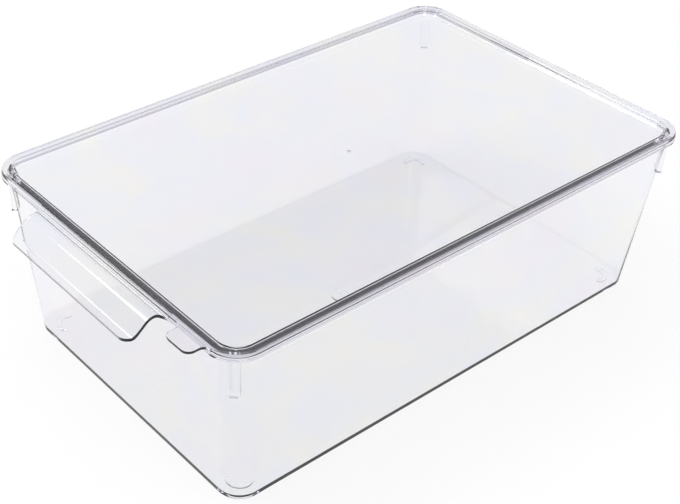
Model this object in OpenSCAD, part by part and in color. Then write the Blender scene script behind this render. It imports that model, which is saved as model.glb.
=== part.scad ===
// Clear storage box with a lift-off lid. The tub is one moulding with a flat rim,
// a pull lip across its front, stop lugs under its corners and feet below its floor.
// The lid is a second moulding with a raised border, a sunk panel and a lift tab.
// Millimetres, +Z up, front facing -Y. The origin is on the surface that the tub
// stands on, at the middle of its floor.

/* [Tub] */
// Length over the rim, front to back
rim_len = 375; // [260:1:480]
// Width over the rim, side to side
rim_wid = 240; // [170:1:320]
// Height from the surface that the tub stands on to the top of its rim
tub_h = 118.9; // [70:0.1:200]
// Lean of each wall from upright, in degrees
draft = 4.3; // [2:0.1:5]
// Thickness of the walls
wall_t = 2; // [1.6:0.1:2.6]
// Thickness of the floor
floor_t = 2.2; // [1.6:0.1:4]
// Outside radius of the upright corners
corner_r = 15.2; // [13:0.1:22]

/* [Rim] */
// Reach of the rim past the top of the walls
rim_reach = 4.4; // [3:0.1:7]
// Thickness of the rim
rim_t = 2.2; // [1.6:0.1:3]

/* [Pull lip] */
// Width of the lip from side to side
lip_wid = 121; // [80:1:140]
// Reach of the lip past the rim
lip_reach = 23; // [19:0.1:30]
// Thickness of the lip's sheet
lip_t = 2; // [1.6:0.1:2.6]
// Distance from the rim's edge to the top of the lip's crest
crest_out = 4.8; // [4:0.1:6]
// Outside radius of the crest
crest_r = 9; // [8:0.1:10]
// Steepest fall of the sheet past the crest, in degrees
fall_angle = 40; // [30:1:45]
// Radius of the bend between the fall and the finger edge
bend_r = 4; // [3:0.1:5]
// Fall of the finger edge, in degrees
edge_angle = 8; // [4:1:12]
// Width of the finger edge
edge_w = 3; // [2:0.1:4]
// Radius of the lip's front corners, seen from above
lip_corner_r = 8; // [5:0.5:14]
// Radius of the fillets where the lip leaves the rim
lip_root_r = 4.5; // [2:0.5:6]

/* [Stop lugs] */
// Width of each lug
lug_wid = 7; // [5:0.5:9]
// Length of each lug below the rim
lug_len = 28; // [15:1:35]
// Distance of a lug's outer face inside the rim's corner
lug_inset = 4.2; // [3:0.1:4.4]
// Radius of a lug's lower corners
lug_corner_r = 2; // [1:0.1:2.4]

/* [Feet] */
// Height of the feet below the floor
foot_h = 1; // [0.6:0.1:2]
// Outside radius of each curved foot
foot_r = 8.5; // [7:0.5:11]
// Width of the rib that forms a foot
foot_rib = 3; // [2:0.1:4]
// Part of a circle that each foot covers, in degrees
foot_span = 150; // [90:5:200]
// Distance of a foot's centre inside the floor's outer edge
foot_inset = 16.8; // [14:0.1:24]
// Radius of the pad at the middle of the floor
pad_r = 6; // [4:0.5:10]
// Radius of the gate marks on the floor and the lid
gate_r = 1.3; // [0.8:0.1:2]
// Depth of the gate marks
gate_depth = 0.4; // [0.2:0.1:0.8]

/* [Lid] */
// Gap between the lid's seat and the rim
lid_gap = 0.2; // [0.1:0.05:0.4]
// Distance of the lid's edge inside the rim's edge
lid_inset = 0.25; // [0.1:0.05:1]
// Height of the lid's border from its seat to its crown
border_h = 2.8; // [2.4:0.1:4]
// Lean of the border's edge, bottom to shoulder
edge_lean = 0.45; // [0.2:0.05:0.8]
// Width of the sloping shoulder outside the crown
shoulder_w = 1.7; // [1:0.1:2.4]
// Fall of the shoulder
shoulder_drop = 0.5; // [0.3:0.1:0.8]
// Width of the flat crown
crown_w = 4.3; // [3:0.1:6]
// Width of the slope from the crown down to the panel
slope_w = 3.3; // [2:0.1:4]
// Depth of the sunk panel below the crown
panel_depth = 4.4; // [3.6:0.1:6]
// Thickness of the panel
panel_t = 1.8; // [1.4:0.1:2.4]
// Clearance between the lid's plug and the tub's walls
plug_clearance = 0.4; // [0.3:0.05:0.8]

/* [Lift tab] */
// Distance of the tab from the middle of the front
tab_x = 88.5; // [70:0.5:92]
// Width of the tab
tab_wid = 21; // [14:0.5:24]
// Reach of the tab past the lid's edge
tab_reach = 12; // [8:0.5:16]
// Thickness of the tab
tab_t = 1.7; // [1.3:0.1:2.2]
// Radius of the tab's front corners
tab_corner_r = 5; // [2:0.5:6.5]
// Radius of the fillets where the tab leaves the lid
tab_root_r = 4; // [2:0.5:4.5]

/* [Hidden] */
$fn = 96;
ease = 0.02;                               // a round stands this much past a face that it joins
cut = 1;                                   // how far a cutting shape overshoots a face

rim_half = [rim_wid / 2, rim_len / 2];
rim_r = corner_r + rim_reach;
corner_at = [for (half = rim_half) half - rim_r];   // centre of the rim's corner arc
front_y = -rim_half.y;                     // the rim's front edge
lip_back = rim_reach + wall_t / 2;         // the lip's root ends inside the wall

wall_slope = tan(draft);
wall_level = wall_t / cos(draft);          // the wall's thickness measured level
outer_half = [for (half = rim_half) half - rim_reach];
inner_half = [for (half = outer_half) half - wall_level];
floor_top = foot_h + floor_t;
floor_half = [for (half = outer_half) half - (tub_h - foot_h) * wall_slope];

lid_seat = tub_h + lid_gap;
crown_z = lid_seat + border_h;
shoulder_z = crown_z - shoulder_drop;
panel_z = crown_z - panel_depth;           // top face of the sunk panel
edge_half = [for (half = rim_half) half - lid_inset];
shoulder_half = [for (half = edge_half) half - edge_lean];
crown_half = [for (half = shoulder_half) half - shoulder_w];
brink_half = [for (half = crown_half) half - crown_w];
panel_half = [for (half = brink_half) half - slope_w];
plug_half = [for (half = inner_half) half - plug_clearance];
plug_drop = lid_seat - (panel_z - panel_t);
plug_in = plug_drop * slope_w / panel_depth;   // the plug leans as the panel's slope does

// A level plate of the given half sizes, with its corner arcs on the rim's own centres.
module rounded_area(half) {
    r = half.x - corner_at.x;
    square([2 * half.x, 2 * corner_at.y], center = true);
    square([2 * corner_at.x, 2 * half.y], center = true);
    for (x = [-1, 1], y = [-1, 1])
        translate([x * corner_at.x, y * corner_at.y]) circle(r);
}

// The same plate from low_z to high_z, with sides that lean from low half sizes to high ones.
module rounded_block(low_z, high_z, low, high) {
    r_low = low.x - corner_at.x;
    r_high = high.x - corner_at.x;
    h = high_z - low_z;
    translate([0, 0, low_z]) {
        rotate([90, 0, 0]) linear_extrude(2 * corner_at.y, center = true)
            polygon([[-low.x, 0], [low.x, 0], [high.x, h], [-high.x, h]]);
        rotate([90, 0, 90]) linear_extrude(2 * corner_at.x, center = true)
            polygon([[-low.y, 0], [low.y, 0], [high.y, h], [-high.y, h]]);
        for (x = [-1, 1], y = [-1, 1])
            translate([x * corner_at.x, y * corner_at.y]) cylinder(h, r_low, r_high);
    }
}

// A leaning block whose upright corners keep one radius from top to bottom, as the tub's
// do. The half sizes are those at high_z. Each corner is cut by a round along the line in
// which its two walls would meet, so both walls run smoothly into it.
module drafted_block(low_z, high_z, half, r) {
    h = high_z - low_z;
    low = [for (size = half) size - h * wall_slope];
    tilt = atan(sqrt(2) * wall_slope);
    facing = asin(cos(draft) / sqrt(2));
    centre = (ease - r) / cos(facing);
    touch = [(r + cut) * cos(facing), (r + cut) * sin(facing)];
    translate([0, 0, low_z]) difference() {
        intersection() {
            rotate([90, 0, 0]) linear_extrude(2 * half.y + cut, center = true)
                polygon([[-low.x, 0], [low.x, 0], [half.x, h], [-half.x, h]]);
            rotate([90, 0, 90]) linear_extrude(2 * half.x + cut, center = true)
                polygon([[-low.y, 0], [low.y, 0], [half.y, h], [-half.y, h]]);
        }
        for (x = [0, 1], y = [0, 1])
            mirror([x, 0, 0]) mirror([0, y, 0])
                translate([low.x, low.y, 0]) rotate([0, tilt, 45])
                    translate([0, 0, -r]) linear_extrude(h / cos(tilt) + 2 * r)
                        difference() {
                            polygon([[centre, 0], [centre + touch.x, -touch.y],
                                     [cut / cos(facing), 0], [centre + touch.x, touch.y]]);
                            translate([centre, 0]) circle(r);
                        }
    }
}

// Points along an arc around a centre, from angle a to angle b.
function arc(centre, r, a, b, steps = 10) =
    [for (i = [0:steps]) let (t = a + (b - a) * i / steps) centre + r * [cos(t), sin(t)]];

// The pull lip seen from its side: out from the rim's edge along X, up along Y. The sheet
// rises to a crest, falls away in a straight stretch and bends out into the finger edge.
module lip_section() {
    crest_centre = [crest_out, tub_h - crest_r];
    fall = [cos(fall_angle), -sin(fall_angle)];
    edge = [cos(edge_angle), -sin(edge_angle)];
    fall_up = [sin(fall_angle), cos(fall_angle)];
    edge_up = [sin(edge_angle), cos(edge_angle)];
    fall_start = crest_centre + crest_r * fall_up;
    fall_len = (lip_reach - fall_start.x - bend_r * (fall_up.x - edge_up.x) - edge_w * edge.x) / fall.x;
    bend_centre = fall_start + fall_len * fall + bend_r * fall_up;
    tip = bend_centre - bend_r * edge_up + edge_w * edge;
    root_angle = 90 + asin(crest_out / crest_r);
    upper = concat(arc(crest_centre, crest_r, root_angle, 90 - fall_angle),
                   arc(bend_centre, bend_r, 270 - fall_angle, 270 - edge_angle), [tip]);
    lower = concat([tip - lip_t * edge_up],
                   arc(bend_centre, bend_r + lip_t, 270 - edge_angle, 270 - fall_angle),
                   arc(crest_centre, crest_r - lip_t, 90 - fall_angle, root_angle));
    root_low = lower[len(lower) - 1].y;
    polygon(concat([[-lip_back, tub_h - rim_t / 2]], upper, lower, [[-lip_back, root_low]]));
}

// A tongue that leaves a straight edge along Y = 0 towards -Y, seen from above: rounded
// front corners, and fillets at its root. It starts back by the given overlap.
module tongue_area(wid, reach, front_r, root_r, back) {
    translate([-wid / 2, -reach + front_r]) square([wid, reach - front_r + back]);
    translate([-wid / 2 + front_r, -reach]) square([wid - 2 * front_r, front_r]);
    for (x = [-1, 1]) {
        translate([x * (wid / 2 - front_r), -reach + front_r]) circle(front_r);
        difference() {
            translate([x * (wid + root_r) / 2, (back - root_r) / 2])
                square([root_r, root_r + back], center = true);
            translate([x * (wid / 2 + root_r), -root_r]) circle(root_r);
        }
    }
}

module pull_lip() {
    span = lip_wid + 2 * lip_root_r;
    intersection() {
        translate([span / 2, front_y, 0]) rotate([90, 0, -90]) linear_extrude(span) lip_section();
        translate([0, front_y, 0]) linear_extrude(tub_h)
            tongue_area(lip_wid, lip_reach, lip_corner_r, lip_root_r, lip_back);
    }
}

// One lug on each corner, square to the corner and let into the wall behind it.
module stop_lugs() {
    out = rim_r - lug_inset;
    for (x = [0, 1], y = [0, 1])
        mirror([x, 0, 0]) mirror([0, y, 0])
            translate([corner_at.x, corner_at.y, tub_h - rim_t - lug_len]) rotate([90, 0, 135])
                linear_extrude(out) {
                    translate([-lug_wid / 2, lug_corner_r])
                        square([lug_wid, lug_len - lug_corner_r + rim_t / 2]);
                    translate([-lug_wid / 2 + lug_corner_r, 0])
                        square([lug_wid - 2 * lug_corner_r, 2 * lug_corner_r]);
                    for (side = [-1, 1])
                        translate([side * (lug_wid / 2 - lug_corner_r), lug_corner_r])
                            circle(lug_corner_r);
                }
}

// Four curved feet that open towards the middle, and the round pad between them.
module feet() {
    h = foot_h + floor_t / 2;
    mid_r = foot_r - foot_rib / 2;
    for (x = [0, 1], y = [0, 1])
        mirror([x, 0, 0]) mirror([0, y, 0])
            translate([floor_half.x - foot_inset, floor_half.y - foot_inset, 0]) {
                rotate([0, 0, 45 - foot_span / 2]) rotate_extrude(angle = foot_span)
                    translate([foot_r - foot_rib, 0]) square([foot_rib, h]);
                for (end = [-1, 1])
                    rotate([0, 0, 45 + end * foot_span / 2])
                        translate([mid_r, 0, 0]) cylinder(h, foot_rib / 2, foot_rib / 2);
            }
    cylinder(h, pad_r, pad_r);
}

module tub() {
    color([0.90, 0.91, 0.95]) {
        difference() {
            union() {
                drafted_block(foot_h, tub_h, outer_half, corner_r);
                translate([0, 0, tub_h - rim_t]) linear_extrude(rim_t) rounded_area(rim_half);
                stop_lugs();
                pull_lip();
            }
            drafted_block(floor_top, tub_h + cut, [for (half = inner_half) half + cut * wall_slope],
                          corner_r - wall_t);
            translate([0, 0, floor_top - gate_depth]) cylinder(gate_depth + cut, gate_r, gate_r);
        }
        feet();
    }
}

module lift_tab() {
    translate([tab_x, -edge_half.y, shoulder_z - tab_t]) linear_extrude(tab_t)
        tongue_area(tab_wid, tab_reach, tab_corner_r, tab_root_r, shoulder_w);
}

module lid() {
    color([0.94, 0.94, 0.96]) difference() {
        union() {
            rounded_block(lid_seat, shoulder_z, edge_half, shoulder_half);
            rounded_block(shoulder_z, crown_z, shoulder_half, crown_half);
            rounded_block(panel_z - panel_t, lid_seat, [for (half = plug_half) half - plug_in],
                          plug_half);
            lift_tab();
        }
        rounded_block(panel_z, crown_z, panel_half, brink_half);
        translate([0, 0, crown_z]) linear_extrude(cut) rounded_area(brink_half);
        translate([0, 0, panel_z - gate_depth]) cylinder(gate_depth + cut, gate_r, gate_r);
    }
}

tub();
lid();
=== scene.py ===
"""Looks of a clear storage box with a lift-off lid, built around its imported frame."""

import logging
import math
from dataclasses import dataclass
from enum import Enum
from typing import Any, Iterable, Sequence

import bmesh
import bpy
from mathutils import Matrix, Vector


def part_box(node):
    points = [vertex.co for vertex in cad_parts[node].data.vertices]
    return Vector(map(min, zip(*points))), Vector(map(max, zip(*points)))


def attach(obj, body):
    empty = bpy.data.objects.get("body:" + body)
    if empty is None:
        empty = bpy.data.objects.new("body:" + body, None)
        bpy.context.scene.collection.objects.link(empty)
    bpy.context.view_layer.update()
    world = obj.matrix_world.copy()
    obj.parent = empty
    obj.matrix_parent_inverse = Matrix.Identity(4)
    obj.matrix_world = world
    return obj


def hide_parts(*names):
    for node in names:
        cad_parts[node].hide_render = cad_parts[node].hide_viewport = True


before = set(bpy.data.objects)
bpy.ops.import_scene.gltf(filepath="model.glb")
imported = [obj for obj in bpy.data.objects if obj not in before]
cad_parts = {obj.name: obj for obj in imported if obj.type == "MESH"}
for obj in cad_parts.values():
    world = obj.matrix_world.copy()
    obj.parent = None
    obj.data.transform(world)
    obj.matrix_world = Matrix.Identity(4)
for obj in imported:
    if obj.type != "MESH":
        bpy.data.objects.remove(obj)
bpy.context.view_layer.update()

log = logging.getLogger("clear_box")

MM = 0.001              # metres in a millimetre: sizes below are millimetres
NEAR = 1e-4             # two places closer than this are one, in millimetres
CORNER_STEPS = 18       # faces around a rounded corner
GATE_STEPS = 48         # faces around the gate mark
PANEL_HOLE = 3.0        # radius of the corner that the swept section leaves to the flat faces
SHARP_ANGLE = 35        # edges that turn by more than this stay sharp, in degrees

Line = list[Vector]
Colour = tuple[float, float, float]


class Join(Enum):
    """How a tool solid changes the solid that it meets."""

    ADD = "UNION"
    CUT = "DIFFERENCE"


def eased(line: Iterable[Sequence[float]], radii: Sequence[float], steps: int = 4) -> Line:
    """Rounds the corners of an open line.

    Args:
        line: the line's points.
        radii: one radius for each point between its ends.
        steps: chords in each round.

    Returns:
        The rounded line.
    """
    most = 0.48                     # the share of a stretch that one round may take
    points = [Vector(point) for point in line]
    result = [points[0]]
    for before, here, after, radius in zip(points, points[1:], points[2:], radii):
        back, ahead = before - here, after - here
        half = back.angle(ahead) / 2
        trim = min(radius / math.tan(half), most * back.length, most * ahead.length)
        start, end = here + back.normalized() * trim, here + ahead.normalized() * trim
        middle = (back.normalized() + ahead.normalized()).normalized()
        centre = here + middle * trim / math.cos(half)
        reach = (start - centre).length
        result += [centre + (start.lerp(end, step / steps) - centre).normalized() * reach
                   for step in range(steps + 1)]
    return result + [points[-1]]


def refined(line: Line, longest: float) -> Line:
    """Splits a line's stretches.

    Args:
        line: the line's points.
        longest: the longest stretch that may stay.

    Returns:
        The same line with more points.
    """
    result = [line[0]]
    for start, end in zip(line, line[1:]):
        count = max(1, math.ceil((end - start).length / longest))
        result += [start.lerp(end, step / count) for step in range(1, count + 1)]
    return result


def linked(name: str, bm: bmesh.types.BMesh) -> bpy.types.Object:
    """Puts a bmesh, already in metres, into an object at the origin, and frees it."""
    mesh = bpy.data.meshes.new(name)
    bm.to_mesh(mesh)
    bm.free()
    piece = bpy.data.objects.new(name, mesh)
    bpy.context.scene.collection.objects.link(piece)
    return piece


def to_object(name: str, bm: bmesh.types.BMesh, place: Matrix | None = None) -> bpy.types.Object:
    """Turns a bmesh in millimetres into an object in metres, placed in its mesh.

    Args:
        name: the object's name.
        bm: the mesh, which is freed.
        place: where the shape goes, in millimetres.

    Returns:
        The object, at the origin, with its normals outward.
    """
    bm.transform(Matrix.Scale(MM, 4) @ (place or Matrix.Identity(4)))
    bmesh.ops.recalc_face_normals(bm, faces=bm.faces[:])
    return linked(name, bm)


def settle(piece: bpy.types.Object) -> None:
    """Applies an object's modifiers to its mesh."""
    graph = bpy.context.evaluated_depsgraph_get()
    mesh = bpy.data.meshes.new_from_object(piece.evaluated_get(graph), depsgraph=graph)
    piece.modifiers.clear()
    worn, piece.data = piece.data, mesh
    bpy.data.meshes.remove(worn)


def combine(piece: bpy.types.Object, tool: bpy.types.Object, how: Join) -> None:
    """Adds a tool solid to a piece or cuts it away, and removes the tool."""
    modifier = piece.modifiers.new(how.name, "BOOLEAN")
    modifier.object = tool
    modifier.operation = how.value
    modifier.solver = "EXACT"
    settle(piece)
    bpy.data.objects.remove(tool)


def swept_shell(name: str, section: Line, corner: Sequence[float]) -> bpy.types.Object:
    """Sweeps a section around a rounded rectangle into a closed moulding.

    One corner is spun, its ends run to the middle planes, and the quarter is mirrored
    twice. The open loops at the section's two ends become the panel's two faces.

    Args:
        name: the object's name.
        section: distance out from the corner's centre and height.
        corner: the corner's centre.

    Returns:
        The moulding.
    """
    bm = bmesh.new()
    verts = [bm.verts.new((corner[0] + point.x, corner[1], point.y)) for point in section]
    edges = [bm.edges.new(pair) for pair in zip(verts, verts[1:])]
    bmesh.ops.spin(bm, geom=verts + edges, cent=(*corner, 0), axis=(0, 0, 1), dvec=(0, 0, 0),
                   angle=math.pi / 2, steps=CORNER_STEPS, use_merge=False,
                   use_normal_flip=False, use_duplicate=False)
    for axis in (1, 0):
        ends = [edge for edge in bm.edges if edge.is_boundary
                and all(abs(vert.co[axis] - corner[axis]) < NEAR for vert in edge.verts)]
        for part in bmesh.ops.extrude_edge_only(bm, edges=ends)["geom"]:
            if isinstance(part, bmesh.types.BMVert):
                part.co[axis] = 0
    for axis in "XY":
        bmesh.ops.mirror(bm, geom=bm.verts[:] + bm.edges[:] + bm.faces[:],
                         matrix=Matrix.Identity(4), merge_dist=NEAR, axis=axis)
    bmesh.ops.edgeloop_fill(bm, edges=[edge for edge in bm.edges if edge.is_boundary])
    return to_object(name, bm)


def gate_tool(radius: float, low: float, high: float) -> bpy.types.Object:
    """An upright cylinder at the origin, from one height to another."""
    bm = bmesh.new()
    bmesh.ops.create_cone(bm, cap_ends=True, segments=GATE_STEPS, radius1=radius,
                          radius2=radius, depth=high - low)
    return to_object("gate", bm, Matrix.Translation((0, 0, (low + high) / 2)))


@dataclass(frozen=True)
class Tongue:
    """A rounded tongue of sheet that leaves a straight edge through small fillets."""

    width: float
    reach: float
    thickness: float
    front_r: float
    root_r: float
    edge_r: float = 0.5
    edge_steps: int = 3
    edge_limit: float = 50
    columns: int = 14
    row: float = 0.5

    def half_width(self, out: float) -> float:
        """Half the tongue's width at a distance out from the edge that it leaves."""
        half = self.width / 2
        if out < self.root_r:
            inward = self.root_r - max(out, 0)
            return half + self.root_r - math.sqrt(self.root_r ** 2 - inward ** 2)
        past = out - (self.reach - self.front_r)
        if past <= 0:
            return half
        return half - self.front_r + math.sqrt(max(self.front_r ** 2 - past ** 2, 0))

    def build(self, name: str, line: Line, middle: float, front: float) -> bpy.types.Object:
        """Makes the tongue.

        Args:
            name: the object's name.
            line: its top surface from root to front, as distance out and height.
            middle: where its middle is along X.
            front: the edge that it leaves, along Y.

        Returns:
            The tongue as a closed solid with rounded edges.
        """
        bm = bmesh.new()
        verts = [bm.verts.new((-1, point.x, point.y)) for point in refined(line, self.row)]
        edges = [bm.edges.new(pair) for pair in zip(verts, verts[1:])]
        for _ in range(self.columns):
            grown = bmesh.ops.extrude_edge_only(bm, edges=edges)["geom"]
            fresh = [part for part in grown if isinstance(part, bmesh.types.BMVert)]
            bmesh.ops.translate(bm, vec=(2 / self.columns, 0, 0), verts=fresh)
            edges = [part for part in grown if isinstance(part, bmesh.types.BMEdge)
                     and all(vert in fresh for vert in part.verts)]
        for vert in bm.verts:
            across, out, height = vert.co
            vert.co = (middle + across * self.half_width(out), front - out, height)
        bm.normal_update()
        if sum(face.normal.z for face in bm.faces) < 0:
            bmesh.ops.reverse_faces(bm, faces=bm.faces[:])
        bm.transform(Matrix.Scale(MM, 4))
        piece = linked(name, bm)
        sheet = piece.modifiers.new("sheet", "SOLIDIFY")
        sheet.thickness = self.thickness * MM
        sheet.offset = -1
        sheet.use_even_offset = True
        rounding = piece.modifiers.new("rounding", "BEVEL")
        rounding.width = self.edge_r * MM
        rounding.segments = self.edge_steps
        rounding.limit_method = "ANGLE"
        rounding.angle_limit = math.radians(self.edge_limit)
        settle(piece)
        return piece


@dataclass
class Tub:
    """The open moulding: walls, floor, rim, pull lip, stop lugs and feet."""

    half_x: float
    half_y: float
    height: float
    corner_r: float = 15.2
    draft: float = 4.3
    wall: float = 2.0
    rim_reach: float = 4.4

    @property
    def corner(self) -> tuple[float, float]:
        """The centre of the rim's corner arc."""
        r = self.corner_r + self.rim_reach
        return self.half_x - r, self.half_y - r

    @property
    def inner_r(self) -> float:
        """The radius of a corner inside the walls."""
        return self.corner_r - self.wall / math.cos(math.radians(self.draft))

    def build(self) -> bpy.types.Object:
        """Makes the tub from a merged copy of its solid's mesh.

        Returns:
            The whole moulding as one closed mesh, without the normals that it carried.
        """
        bm = bmesh.new()
        bm.from_mesh(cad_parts["tub"].data)
        bmesh.ops.remove_doubles(bm, verts=bm.verts[:], dist=NEAR * MM)
        bm.transform(Matrix.Scale(1 / MM, 4))
        piece = to_object("clear_tub", bm)
        carried = piece.data.attributes.get("custom_normal")
        if carried:
            piece.data.attributes.remove(carried)
        return piece


@dataclass
class Lid:
    """The lift-off moulding: raised border, sunk panel with its plug, and lift tab."""

    half_x: float
    half_y: float
    low: float
    crown: float
    tab_reach: float
    tub: Tub
    gap: float = 0.2
    plug_clearance: float = 0.4
    edge_lean: float = 0.45
    shoulder: float = 1.7
    shoulder_drop: float = 0.5
    crown_width: float = 4.3
    slope_width: float = 3.3
    panel_depth: float = 4.4
    tab_at: float = 88.5
    tab_width: float = 21
    tab_thickness: float = 1.7
    tab_front_r: float = 5.0
    tab_root_r: float = 4.0
    gate_r: float = 1.3
    gate_depth: float = 0.4
    edge_radii: tuple[float, ...] = (1.0, 0.4, 0.35, 0.5, 0.6, 0.6, 1.0)

    @property
    def panel_z(self) -> float:
        """The height of the sunk panel's top."""
        return self.crown - self.panel_depth

    def shell(self) -> bpy.types.Object:
        """The border, plug and panel in one closed shape."""
        seat = self.tub.height + self.gap
        edge = self.half_x - self.tub.corner[0]
        shoulder = edge - self.edge_lean
        crown = shoulder - self.shoulder
        brink = crown - self.crown_width
        plug = self.tub.inner_r - self.plug_clearance
        plug_low = plug - (seat - self.low) * self.slope_width / self.panel_depth
        line = [(PANEL_HOLE, self.low), (plug_low, self.low), (plug, seat), (edge, seat),
                (shoulder, self.crown - self.shoulder_drop), (crown, self.crown),
                (brink, self.crown), (brink - self.slope_width, self.panel_z),
                (PANEL_HOLE, self.panel_z)]
        return swept_shell("clear_lid", eased(line, self.edge_radii), self.tub.corner)

    def lift_tab(self) -> bpy.types.Object:
        """The flat tab that a finger lifts, from inside the border to its front."""
        top = self.crown - self.shoulder_drop
        line = [Vector((out, top)) for out in (-self.shoulder, 0, self.tab_reach)]
        tongue = Tongue(self.tab_width, self.tab_reach, self.tab_thickness, self.tab_front_r,
                        self.tab_root_r)
        return tongue.build("tab", line, self.tab_at, -self.half_y)

    def build(self) -> bpy.types.Object:
        """Makes the lid.

        Returns:
            The whole moulding as one closed mesh.
        """
        piece = self.shell()
        combine(piece, self.lift_tab(), Join.ADD)
        gate = gate_tool(self.gate_r, self.panel_z - self.gate_depth, self.panel_z + 1)
        combine(piece, gate, Join.CUT)
        return piece


@dataclass
class Number:
    """A shader socket that takes part in arithmetic: each operation adds a Math node."""

    shader: "Shader"
    socket: bpy.types.NodeSocket

    def math(self, operation: str, first: Any, second: Any) -> "Number":
        """Adds one Math node and returns its result."""
        node = self.shader.node("ShaderNodeMath", {"operation": operation}, {0: first, 1: second})
        return Number(self.shader, node.outputs[0])

    def __add__(self, other: Any) -> "Number":
        """This number plus another."""
        return self.math("ADD", self, other)

    def __mul__(self, other: Any) -> "Number":
        """This number times another."""
        return self.math("MULTIPLY", self, other)

    __radd__ = __add__
    __rmul__ = __mul__

    def at_most(self, limit: float) -> "Number":
        """This number or the limit, whichever is less."""
        return self.math("MINIMUM", self, limit)


class Shader:
    """Makes the nodes of one node tree."""

    def __init__(self, tree: bpy.types.NodeTree) -> None:
        """Empties the tree.

        Args:
            tree: the tree of a material or of the world.
        """
        self.tree = tree
        tree.nodes.clear()

    def node(self, kind: str, settings: dict[str, Any] | None = None,
             inputs: dict[Any, Any] | None = None) -> bpy.types.Node:
        """Adds a node, sets it up and feeds its sockets.

        Args:
            kind: the node's type.
            settings: its properties, and "stops" for a colour ramp.
            inputs: a value, a Number or a socket for each input's name or place.

        Returns:
            The node.
        """
        node = self.tree.nodes.new(kind)
        for name, value in (settings or {}).items():
            if name == "stops":
                self.set_stops(node.color_ramp, value)
            else:
                setattr(node, name, value)
        for name, value in (inputs or {}).items():
            if isinstance(value, Number):
                value = value.socket
            if isinstance(value, bpy.types.NodeSocket):
                self.tree.links.new(value, node.inputs[name])
            else:
                node.inputs[name].default_value = value
        return node

    @staticmethod
    def set_stops(ramp: bpy.types.ColorRamp, stops: Sequence[tuple[float, Colour]]) -> None:
        """Gives a colour ramp its stops."""
        while len(ramp.elements) < len(stops):
            ramp.elements.new(1)
        for element, (place, colour) in zip(ramp.elements, stops):
            element.position = place
            element.color = (*colour, 1)

    def number(self, node: bpy.types.Node, output: str | int = 0) -> Number:
        """Wraps one output of a node."""
        return Number(self, node.outputs[output])

    def noise(self, place: bpy.types.NodeSocket, scale: float, detail: float) -> Number:
        """Adds a noise texture and returns its value."""
        return self.number(self.node("ShaderNodeTexNoise", {}, {
            "Vector": place, "Scale": scale, "Detail": detail}))

    def seen(self) -> Number:
        """One for a ray that shows a surface: straight, mirrored or through plastic."""
        path = self.node("ShaderNodeLightPath")
        names = ("Is Camera Ray", "Is Glossy Ray", "Is Transmission Ray")
        camera, glossy, through = (self.number(path, name) for name in names)
        return (camera + glossy + through).at_most(1)


@dataclass(frozen=True)
class ClearPlastic:
    """Clear moulded plastic: faint stress colours, a lavender depth and a soft ripple."""

    name: str
    pink: Colour = (0.985, 0.965, 0.985)
    blue: Colour = (0.965, 0.975, 0.995)
    cream: Colour = (0.99, 0.985, 0.965)
    stress_stops: tuple[float, ...] = (0.32, 0.46, 0.56, 0.68)
    stress_scale: float = 11.0
    stress_detail: float = 2.0
    depth: Colour = (0.80, 0.79, 0.87)
    density: float = 30
    ior: float = 1.49
    gloss: float = 0.015
    wear: float = 0.03
    wear_scale: float = 90.0
    wear_detail: float = 4.0
    ripple: float = 0.06
    ripple_height: float = 0.0005
    ripple_scale: float = 26.0
    ripple_detail: float = 1.0

    def material(self) -> bpy.types.Material:
        """Makes the material.

        Returns:
            A node material that reads Object coordinates.
        """
        material = bpy.data.materials.new(self.name)
        material.use_nodes = True
        shader = Shader(material.node_tree)
        place = shader.node("ShaderNodeTexCoord").outputs["Object"]
        stress = shader.noise(place, self.stress_scale, self.stress_detail)
        colours = (self.pink, self.blue, self.cream, self.blue)
        tint = shader.node("ShaderNodeValToRGB", {
            "stops": tuple(zip(self.stress_stops, colours))}, {"Fac": stress})
        worn = shader.noise(place, self.wear_scale, self.wear_detail)
        bump = shader.node("ShaderNodeBump", {}, {
            "Strength": self.ripple, "Distance": self.ripple_height,
            "Height": shader.noise(place, self.ripple_scale, self.ripple_detail)})
        surface = shader.node("ShaderNodeBsdfPrincipled", {}, {
            "Base Color": tint.outputs["Color"],
            "Roughness": worn * self.wear + self.gloss,
            "IOR": self.ior,
            "Transmission Weight": 1.0,
            "Normal": bump.outputs["Normal"]})
        inside = shader.node("ShaderNodeVolumeAbsorption", {}, {
            "Color": (*self.depth, 1), "Density": self.density})
        shader.node("ShaderNodeOutputMaterial", {}, {
            "Surface": surface.outputs[0], "Volume": inside.outputs[0]})
        return material


def dress(piece: bpy.types.Object, finish: ClearPlastic, body: str, node: str) -> None:
    """Gives a piece its material and its place in the frame.

    Args:
        piece: the finished mesh.
        finish: its plastic.
        body: the body that it rides on.
        node: the solid that it stands for.
    """
    mesh = piece.data
    mesh.materials.clear()
    mesh.materials.append(finish.material())
    mesh.shade_smooth()
    mesh.set_sharp_from_angle(angle=math.radians(SHARP_ANGLE))
    flats = piece.modifiers.new("flats", "WEIGHTED_NORMAL")
    flats.keep_sharp = True
    flats.weight = 100
    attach(piece, body)
    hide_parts(node)
    log.info("%s: %d faces on %s", piece.name, len(mesh.polygons), body)


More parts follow.
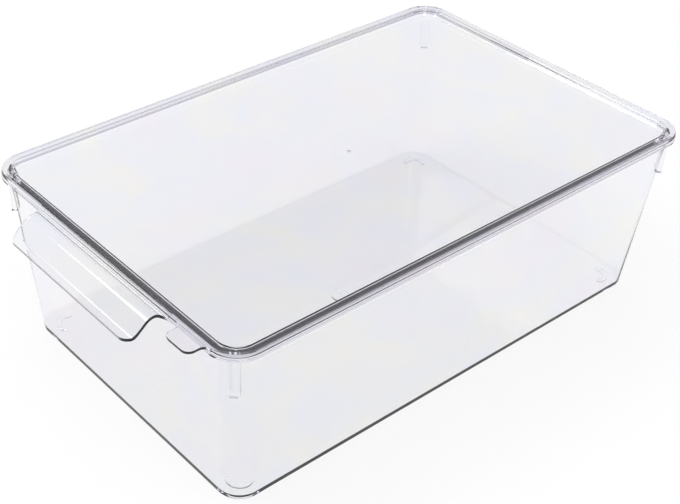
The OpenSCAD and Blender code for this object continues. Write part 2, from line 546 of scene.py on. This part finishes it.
@dataclass(frozen=True)
class Viewpoint:
    """The photograph's camera, as a point that it faces and where it stands from there."""

    azimuth: float = 49.6
    elevation: float = 36.0
    roll: float = 1.4
    distance: float = 856.9
    target: Colour = (-4.1, -51.3, 60.0)
    focal_px: float = 1347.0
    image_width: float = 680.0
    centre_shift_px: float = 60.0
    sensor: float = 36
    nearest: float = 0.01

    def camera(self) -> bpy.types.Object:
        """Makes the camera.

        Returns:
            The camera, set as the scene's own.
        """
        azimuth, elevation = math.radians(self.azimuth), math.radians(self.elevation)
        back = Vector((math.sin(azimuth) * math.cos(elevation),
                       -math.cos(azimuth) * math.cos(elevation), math.sin(elevation)))
        right = Vector((0, 0, 1)).cross(back).normalized()
        turn = Matrix((right, back.cross(right), back)).transposed()
        turn = turn @ Matrix.Rotation(math.radians(self.roll), 3, "Z")
        data = bpy.data.cameras.new("photo_camera")
        data.sensor_width = self.sensor
        data.lens = self.focal_px / self.image_width * self.sensor
        data.shift_x = self.centre_shift_px / self.image_width
        data.clip_start = self.nearest
        camera = bpy.data.objects.new("photo_camera", data)
        place = (Vector(self.target) + back * self.distance) * MM
        camera.matrix_world = Matrix.Translation(place) @ turn.to_4x4()
        bpy.context.scene.collection.objects.link(camera)
        bpy.context.scene.camera = camera
        return camera


@dataclass(frozen=True)
class SoftLamp:
    """One soft square lamp that faces the object, in metres and watts."""

    name: str
    place: Colour
    size: float
    power: float

    def build(self) -> None:
        """Makes the lamp."""
        data = bpy.data.lights.new(self.name, "AREA")
        data.size = self.size
        data.energy = self.power
        lamp = bpy.data.objects.new(self.name, data)
        lamp.location = self.place
        lamp.rotation_euler = Vector(self.place).to_track_quat("Z", "Y").to_euler()
        bpy.context.scene.collection.objects.link(lamp)


@dataclass(frozen=True)
class Studio:
    """A pale floor under soft light, with a dimmer band of sky that draws clear edges."""

    floor_size: float = 30
    floor_drop: float = 0.0002
    floor_white: float = 0.82
    paper: Colour = (0.92, 0.92, 0.92)
    white: Colour = (1.0, 1.0, 1.0)
    band: Colour = (0.65, 0.64, 0.70)
    zenith: Colour = (1.1, 1.1, 1.1)
    horizon_top: float = 0.14
    band_low: float = 0.28
    band_high: float = 0.70
    zenith_low: float = 0.82
    lamps: tuple[SoftLamp, ...] = (SoftLamp("key", (-0.9, -0.9, 1.7), 1.0, 14),
                                   SoftLamp("fill", (1.3, -0.5, 1.3), 0.8, 6))

    def floor(self) -> None:
        """A plain floor that shows white and still takes the object's shadow."""
        bm = bmesh.new()
        bmesh.ops.create_grid(bm, x_segments=1, y_segments=1, size=self.floor_size / 2 / MM)
        floor = to_object("floor", bm, Matrix.Translation((0, 0, -self.floor_drop / MM)))
        material = bpy.data.materials.new("floor_paper")
        material.use_nodes = True
        shader = Shader(material.node_tree)
        paper = shader.node("ShaderNodeBsdfDiffuse", {}, {"Color": (*self.paper, 1)})
        glow = shader.node("ShaderNodeEmission", {}, {"Color": (*self.white, 1), "Strength": 1.0})
        mixed = shader.node("ShaderNodeMixShader", {}, {
            0: shader.seen() * self.floor_white, 1: paper.outputs[0], 2: glow.outputs[0]})
        shader.node("ShaderNodeOutputMaterial", {}, {"Surface": mixed.outputs[0]})
        floor.data.materials.append(material)

    def world(self) -> None:
        """White towards the camera and around the horizon, with a dim band higher up."""
        world = bpy.data.worlds.new("studio")
        world.use_nodes = True
        bpy.context.scene.world = world
        shader = Shader(world.node_tree)
        way = shader.node("ShaderNodeTexCoord").outputs["Generated"]
        height = shader.node("ShaderNodeSeparateXYZ", {}, {0: way}).outputs["Z"]
        sky = shader.node("ShaderNodeValToRGB", {"stops": (
            (0.0, self.white), (self.horizon_top, self.white), (self.band_low, self.band),
            (self.band_high, self.band), (self.zenith_low, self.zenith))}, {"Fac": height})
        path = shader.node("ShaderNodeLightPath")
        studio = shader.node("ShaderNodeBackground", {}, {"Color": sky.outputs[0], "Strength": 1.0})
        plain = shader.node("ShaderNodeBackground", {}, {
            "Color": (*self.white, 1), "Strength": 1.0})
        mixed = shader.node("ShaderNodeMixShader", {}, {
            0: path.outputs["Is Camera Ray"], 1: studio.outputs[0], 2: plain.outputs[0]})
        shader.node("ShaderNodeOutputWorld", {}, {"Surface": mixed.outputs[0]})

    def build(self) -> None:
        """Makes the floor, the world and the lamps."""
        self.floor()
        self.world()
        for lamp in self.lamps:
            lamp.build()


def main() -> None:
    """Builds the studio and the two mouldings around the frame."""
    logging.basicConfig(level=logging.INFO)
    bpy.context.scene.view_settings.view_transform = "Standard"
    Viewpoint().camera()
    Studio().build()
    tub_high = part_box("tub")[1] / MM
    lid_low, lid_high = (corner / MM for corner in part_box("lid"))
    tub = Tub(half_x=tub_high.x, half_y=tub_high.y, height=tub_high.z)
    lid = Lid(half_x=lid_high.x, half_y=lid_high.y, low=lid_low.z, crown=lid_high.z,
              tab_reach=-lid_low.y - lid_high.y, tub=tub)
    dress(tub.build(), ClearPlastic("clear_plastic_tub"), "tub", "tub")
    dress(lid.build(), ClearPlastic("clear_plastic_lid"), "lid", "lid")


if __name__ == "__main__":
    main()
